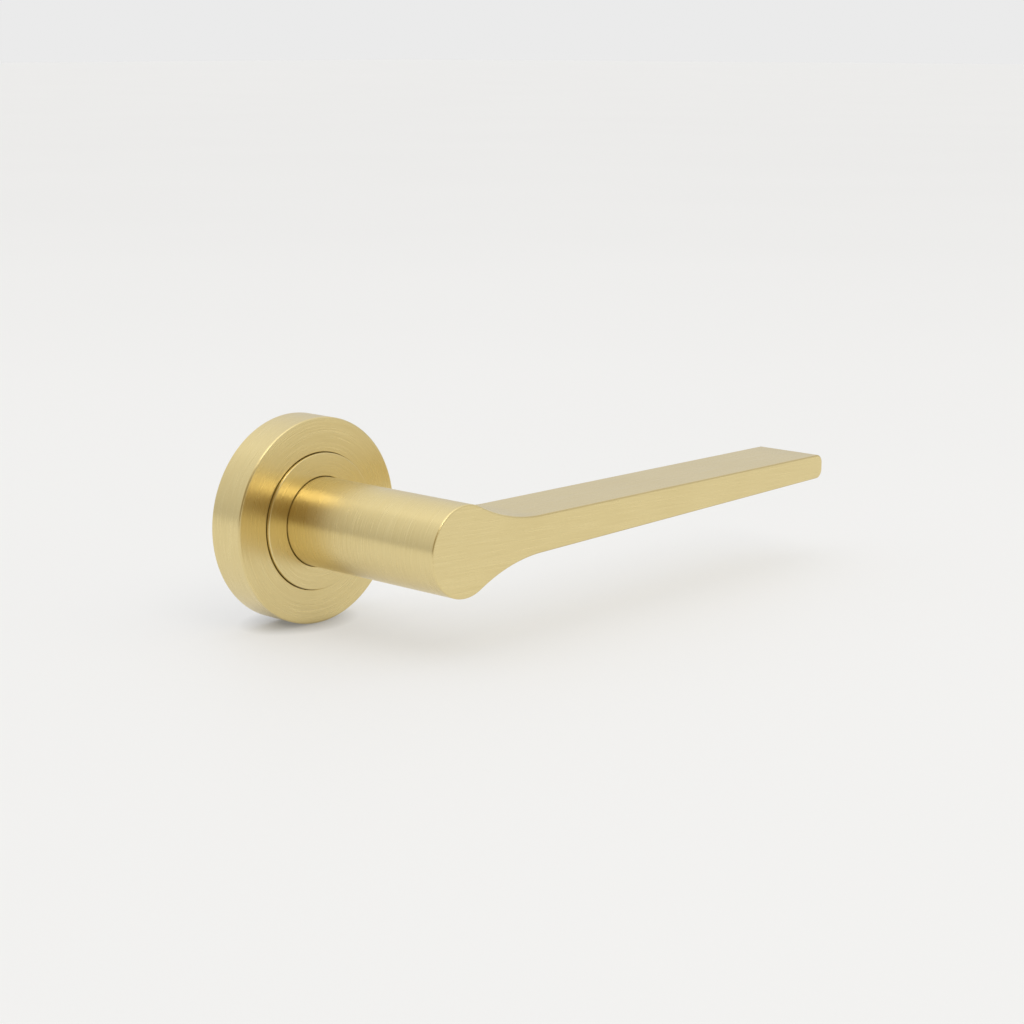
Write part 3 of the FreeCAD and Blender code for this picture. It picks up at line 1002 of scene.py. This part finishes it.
    def neck(self, skin: Skin, back_ring: Ring) -> None:
        """Builds the blade's back face, the round neck, its shoulder and the journal.

        Args:
            skin: the skin to add to.
            back_ring: the ring where the blade's sides end.
        """
        head = back_ring[:self.head_count]
        span = 2 * self.root
        angles = [-self.root + span * step / self.inner_steps for step in range(1, self.inner_steps)]
        crease = skin.ring([self.round_point(turn, self.neck_radius, self.rear) for turn in angles])
        rest = back_ring[self.head_count:]
        skin.cap([head[-1], *rest, head[0], *reversed(crease)])
        sweep, steps = 2 * pi - span, self.head_count - 1
        turns = [self.root + sweep * step / steps for step in range(self.head_count)]
        turns += [angle + 2 * pi for angle in angles]
        soft, neck, journal = self.neck_soft, self.neck_radius, self.journal_radius
        groove_back, groove_front = self.clip_groove
        brass = (self.rear - soft, self.neck_start + soft, self.neck_start)
        flats = (
            (self.flat_depth, journal),
            (groove_front, journal),
            (groove_front, self.groove_radius),
            (groove_back, self.groove_radius),
            (groove_back, journal),
            (self.journal_start + soft, journal),
            (self.journal_start, journal - soft),
        )
        levels = [(depth, neck, neck, Patch.NECK) for depth in brass]
        for depth in (self.neck_start, self.flat_depth):
            levels.append((depth, journal, journal, Patch.STEEL))
        levels += [(*level, self.journal_flat, Patch.STEEL) for level in flats]
        above = head + crease
        for depth, radius, across, patch in levels:
            ring = skin.ring([self.round_point(turn, radius, depth, across) for turn in turns])
            skin.band(above, ring, patch)
            above = ring
        skin.cap(above, Patch.STEEL)

    def round_point(self, angle: float, radius: float, depth: float, flat: float = 1.0) -> Vector:
        """Returns a point on a circle about the turning axis, cut off at two side flats."""
        across = min(max(radius * cos(angle), -flat), flat)
        return Vector((across, -depth, radius * sin(angle)))


# ---- the mechanism


@dataclass
class Mechanism:
    """The works inside the rose and neck; most keep their solids' shapes."""

    zinc: Material
    acetal: Material
    bright: Material
    dark: Material

    coil_radius: float = 12.9 * MM
    wire_radius: float = 0.74 * MM
    bend: float = 1.3 * MM
    first_depth: float = 4.75 * MM
    last_depth: float = 7.075 * MM
    flat_turn: float = 60.0
    coil_turn: float = 540.0
    tang_start: float = 2.5 * MM
    tang_end: float = 9.2 * MM
    spring_start: float = 90.0
    tang_steps: int = 4
    bend_steps: int = 8
    coil_steps: int = 180
    arm_step: float = 2.0
    coil_fit: float = 1.01
    washer_bore: float = 8.2 * MM
    washer_wave: float = 0.11 * MM
    washer_waves: int = 3
    washer_soft: float = 0.04 * MM
    washer_steps: int = 144
    post_shank: float = 2.75 * MM
    post_seat: float = 6.6 * MM
    post_soft: float = 0.15 * MM
    post_chamfer: float = 0.4 * MM
    thread_core: float = 1.65 * MM
    thread_root: float = 1.98 * MM
    thread_pitch: float = 0.7 * MM
    thread_end: float = 4.2 * MM
    bore_end: float = 5.0 * MM
    post_sides: int = 48
    driver_slot: Point = (0.6 * MM, 0.8 * MM)
    slot_overrun: float = 1.1

    def build(self, nodes: dict[str, Object]) -> None:
        """Dresses the solids, and makes the pieces that bend or wave.

        Args:
            nodes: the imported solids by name.
        """
        self.dress(nodes)
        self.wave_washer()
        self.spring()
        self.post("fixing_post_upper")
        self.post("fixing_post_lower")

    def coil_point(self, degrees: float, depth: float) -> Vector:
        """Returns a point on the spring's coil, seen from the front, anticlockwise from +X."""
        angle = math.radians(degrees)
        return Vector((self.coil_radius * cos(angle), -depth, self.coil_radius * sin(angle)))

    def tang(self, degrees: float, start: float, coil_depth: float, sense: int) -> list[Vector]:
        """Lays out a tang that runs along the axis and bends into the coil.

        Args:
            degrees: where on the coil it leaves.
            start: the depth of its free end.
            coil_depth: the depth of the coil there.
            sense: 1 if the coil goes on anticlockwise from it, -1 if it comes to it.

        Returns:
            The tang's centre line, free end first.
        """
        way = math.copysign(1.0, coil_depth - start)
        straight = coil_depth - start - way * self.bend
        steps = range(self.tang_steps + 1)
        path = [self.coil_point(degrees, start + straight * step / self.tang_steps) for step in steps]
        for step in range(1, self.bend_steps + 1):
            turn = pi / 2 * step / self.bend_steps
            along = self.bend_turn() * (1 - cos(turn))
            depth = coil_depth - way * self.bend * (1 - sin(turn))
            path.append(self.coil_point(degrees + sense * along, depth))
        return path

    def bend_turn(self) -> float:
        """Returns how many degrees of the coil a tang's bend takes up."""
        return math.degrees(self.bend / self.coil_radius)

    def spring(self) -> None:
        """Builds the return spring: a coil fixed in the base and a first turn that follows the cam."""
        share = self.bend_turn()
        first, last = self.spring_start, self.spring_start + self.coil_turn
        moving = self.tang(first, self.tang_start, self.first_depth, 1)
        moving += [
            self.coil_point(first + share + step * self.arm_step, self.first_depth)
            for step in range(1, int(self.flat_turn / self.arm_step))
        ]
        arm = wire("return_spring_arm", moving, self.wire_radius)
        arm.finish(Body.LEVER, Slot.SPRING, self.dark)
        begin, rise_from = first + share, first + self.flat_turn
        coil = []
        for step in range(self.coil_steps):
            degrees = begin + (last - share - begin) * step / self.coil_steps
            climb = min(max((degrees - rise_from) / (last - share - rise_from), 0.0), 1.0)
            depth = self.first_depth + (self.last_depth - self.first_depth) * climb
            coil.append(self.coil_point(degrees, depth))
        coil += reversed(self.tang(last, self.tang_end, self.last_depth, -1))
        body = wire("return_spring_coil", coil, self.wire_radius * self.coil_fit)
        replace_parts(body.finish(Body.ROSE, Slot.SPRING, self.dark), "return_spring")

    def wave_washer(self) -> None:
        """Builds the washer that takes up the play, with three waves."""
        low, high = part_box("wave_washer")
        front, back = -low.y - self.washer_wave, -high.y + self.washer_wave
        section = (back, self.washer_bore), (back, high.z), (front, high.z), (front, self.washer_bore)
        corners = [(*corner, self.washer_soft) for corner in section]
        ring = turned(
            "wave_washer_ring", corners, self.washer_steps, self.washer_waves, self.washer_wave
        )
        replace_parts(ring.finish(Body.LEVER, Slot.SPRING, self.dark), "wave_washer")

    def post(self, node: str) -> None:
        """Builds one fixing post: slotted head, shank and threaded bore.

        Args:
            node: the solid that it stands for.
        """
        low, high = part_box(node)
        front, back, head, height = -low.y, -high.y, high.x, (low.z + high.z) / 2
        soft, chamfer, shank = self.post_soft, self.post_chamfer, self.post_shank
        section = [
            (front, head - 2 * soft),
            (front, head - soft),
            (front - soft, head),
            (self.post_seat, head),
            (self.post_seat, shank),
            (back + chamfer, shank),
            (back, shank - chamfer),
            (back, self.thread_root + soft),
        ]
        depth = back + self.thread_pitch
        while depth < self.thread_end:
            section.append((depth, self.thread_core))
            section.append((depth + self.thread_pitch / 2, self.thread_root))
            depth += self.thread_pitch
        section += [(depth, self.thread_core), (self.bore_end, self.thread_core)]
        skin = Skin(node + "_turned")
        skin.tube([
            skin.ring([
                Vector((radius * cos(angle), -place, height + radius * sin(angle)))
                for angle in circle(self.post_sides)
            ])
            for place, radius in section
        ])
        piece = skin.finish(Body.ROSE, Slot.STEEL, self.bright)
        half, deep = self.driver_slot
        past = head * self.slot_overrun
        corners = [Vector((x * past, deep - front, height + z * half)) for x, z in SQUARE]
        bore_out(piece, [block(node + "_slot", corners, Vector((0.0, -2 * deep, 0.0)))])
        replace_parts(piece, node)

    def dress(self, nodes: dict[str, Object]) -> None:
        """Gives each solid that keeps its shape its finish.

        Args:
            nodes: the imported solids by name.
        """
        finishes = {
            "base_plate": self.zinc,
            "neck_bush": self.acetal,
            "thrust_washer": self.bright,
            "driver_cam": self.bright,
            "circlip": self.dark,
            "spindle": self.bright,
            "grub_screw": self.dark,
            "cover_snap_ring": self.dark,
        }
        for name, material in finishes.items():
            data = nodes[name].data
            data.materials.clear()
            data.materials.append(material)
            LOG.info("%s dressed in %s", name, material.name)


# ---- the studio


@dataclass(frozen=True)
class SoftBox:
    """A square lamp: its name, where it hangs, its side and its power in watts."""

    name: str
    place: Place
    width: float
    power: float


@dataclass
class Studio:
    """A pale floor under the rose, soft light all round, and the camera."""

    floor_drop: float
    reach: float = 12.0
    camera_azimuth: float = -47.57
    camera_elevation: float = 12.10
    camera_distance: float = 552.7 * MM
    camera_aim: Place = (37.4 * MM, -40.7 * MM, 0.8 * MM)
    lens: float = 77.34
    sensor: float = 36.0
    clip: Point = (0.01, 100.0)
    room_strength: float = 1.6
    room_light: tuple[Point, ...] = ((0.0, 0.36), (0.2, 0.45), (0.5, 0.52), (0.75, 0.57), (0.95, 0.66))
    near_side_light: tuple[Point, ...] = ((0.3, 1.0), (0.9, 0.35))
    near_side_tint: Colour = (1.15, 0.88, 0.42)
    near_side_rise: float = 0.10
    backdrop: float = 0.83
    boxes: tuple[SoftBox, ...] = (
        SoftBox("overhead_box", (-0.2, 0.1, 1.6), 1.6, 3.0),
        SoftBox("front_box", (-0.22, -0.75, 0.85), 0.45, 1.6),
    )

    def build(self) -> None:
        """Sets the whole studio up."""
        self.floor()
        self.camera()
        self.world()
        for box in self.boxes:
            self.hang(box)

    def floor(self) -> None:
        """Lays the pale sheet at the rose's lowest point."""
        mesh = bmesh.new()
        reach, height = self.reach, -self.floor_drop
        mesh.faces.new([mesh.verts.new((x * reach, y * reach, height)) for x, y in SQUARE])
        sheet = stand("floor_sheet", mesh)
        sheet.data.materials.append(PaleFloor().material())

    def view_way(self) -> Vector:
        """Works out the direction from the handle to the camera.

        Returns:
            That direction, of length 1.
        """
        azimuth, rise = math.radians(self.camera_azimuth), math.radians(self.camera_elevation)
        flat = cos(rise)
        return Vector((sin(azimuth) * flat, -cos(azimuth) * flat, sin(rise)))

    def camera(self) -> None:
        """Places the camera."""
        data = bpy.data.cameras.new("camera")
        data.lens = self.lens
        data.sensor_width = self.sensor
        data.clip_start, data.clip_end = self.clip
        camera = bpy.data.objects.new("camera", data)
        camera.location = Vector(self.camera_aim) + self.view_way() * self.camera_distance
        camera.rotation_euler = (-self.view_way()).to_track_quat("-Z", "Y").to_euler()
        bpy.context.scene.collection.objects.link(camera)
        bpy.context.scene.camera = camera

    def world(self) -> None:
        """Fills the room with soft light: strongest overhead, weaker from the camera's side."""
        world = bpy.data.worlds.new("studio_room")
        bpy.context.scene.world = world
        graph = Graph(world)
        way = graph.node("ShaderNodeTexCoord").outputs["Generated"]
        room = self.ramp(graph, graph.split(way)[2], self.room_light)
        toward = Vector((self.view_way().x, self.view_way().y, self.near_side_rise)).normalized()
        near = graph.arrows("DOT_PRODUCT", way, toward).outputs["Value"]
        near_side = self.ramp(graph, near, self.near_side_light, self.near_side_tint)
        product = graph.node("ShaderNodeMix", data_type="RGBA", blend_type="MULTIPLY")
        for place, value in ((0, 1.0), (6, room), (7, near_side)):
            graph.feed(product.inputs[place], value)
        seen = graph.node("ShaderNodeLightPath")
        lit = graph.node("ShaderNodeBackground", product.outputs[2], self.room_strength)
        plain = graph.node("ShaderNodeBackground", (self.backdrop,) * 3 + (1.0,))
        sources = (seen.outputs["Is Camera Ray"], lit.outputs[0], plain.outputs[0])
        either = graph.node("ShaderNodeMixShader", *sources)
        graph.node("ShaderNodeOutputWorld", either.outputs[0])

    def ramp(
        self, graph: Graph, value: Socket, stops: tuple[Point, ...], last_tint: Colour = (1.0, 1.0, 1.0)
    ) -> Socket:
        """Reads a value from 0 to 1 off a ramp of brightness.

        Args:
            graph: the world's node tree.
            value: the socket to read.
            stops: the ramp's places and brightnesses.
            last_tint: the colour of the ramp's last stop.

        Returns:
            The colour's socket.
        """
        made = graph.node("ShaderNodeValToRGB", value)
        line = made.color_ramp.elements
        while len(line) < len(stops):
            line.new(0.5)
        for stop, (place, bright) in zip(line, stops):
            stop.position = place
            stop.color = (bright, bright, bright, 1.0)
        line[-1].color = (*(stops[-1][1] * part for part in last_tint), 1.0)
        return made.outputs["Color"]

    def hang(self, box: SoftBox) -> None:
        """Hangs a soft box that points at the handle.

        Args:
            box: the lamp to hang.
        """
        data = bpy.data.lights.new(box.name, "AREA")
        data.shape = "SQUARE"
        data.size = box.width
        data.energy = box.power
        lamp = bpy.data.objects.new(box.name, data)
        lamp.location = box.place
        aim = Vector(self.camera_aim) - Vector(box.place)
        lamp.rotation_euler = aim.to_track_quat("-Z", "Y").to_euler()
        bpy.context.scene.collection.objects.link(lamp)


def main(frame: dict) -> None:
    """Builds the classes in order.

    Args:
        frame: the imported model, as loaded.
    """
    logging.basicConfig(level=logging.INFO, format="%(name)s %(message)s")
    bpy.context.scene.view_settings.view_transform = "Standard"
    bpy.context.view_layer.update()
    turned_brass = BrushedBrass("brass_turned", Grain.TURNED).material()
    # The drawn brass paints shade along the rounding of the blade's front edge.
    drawn_brass = BrushedBrass(
        "brass_drawn", Grain.DRAWN, side_run=75.0, contrast=0.8, edge_shade_from=12 * MM, edge_shade_share=0.4
    ).material()
    bright = MilledSteel("bright_steel", (0.72, 0.73, 0.74), (0.58, 0.59, 0.60), 0.28).material()
    dark = MilledSteel("spring_steel", (0.34, 0.34, 0.35), (0.22, 0.22, 0.24), 0.34).material()
    zinc, acetal = CastZinc().material(), MouldedAcetal().material()
    Rose(turned_brass).build()
    LeverCasting(turned_brass, drawn_brass, bright).build()
    Mechanism(zinc, acetal, bright, dark).build(frame["nodes"])
    Studio(floor_drop=-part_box("rose_cover")[0].z).build()


if __name__ == "__main__":
    main(frame)
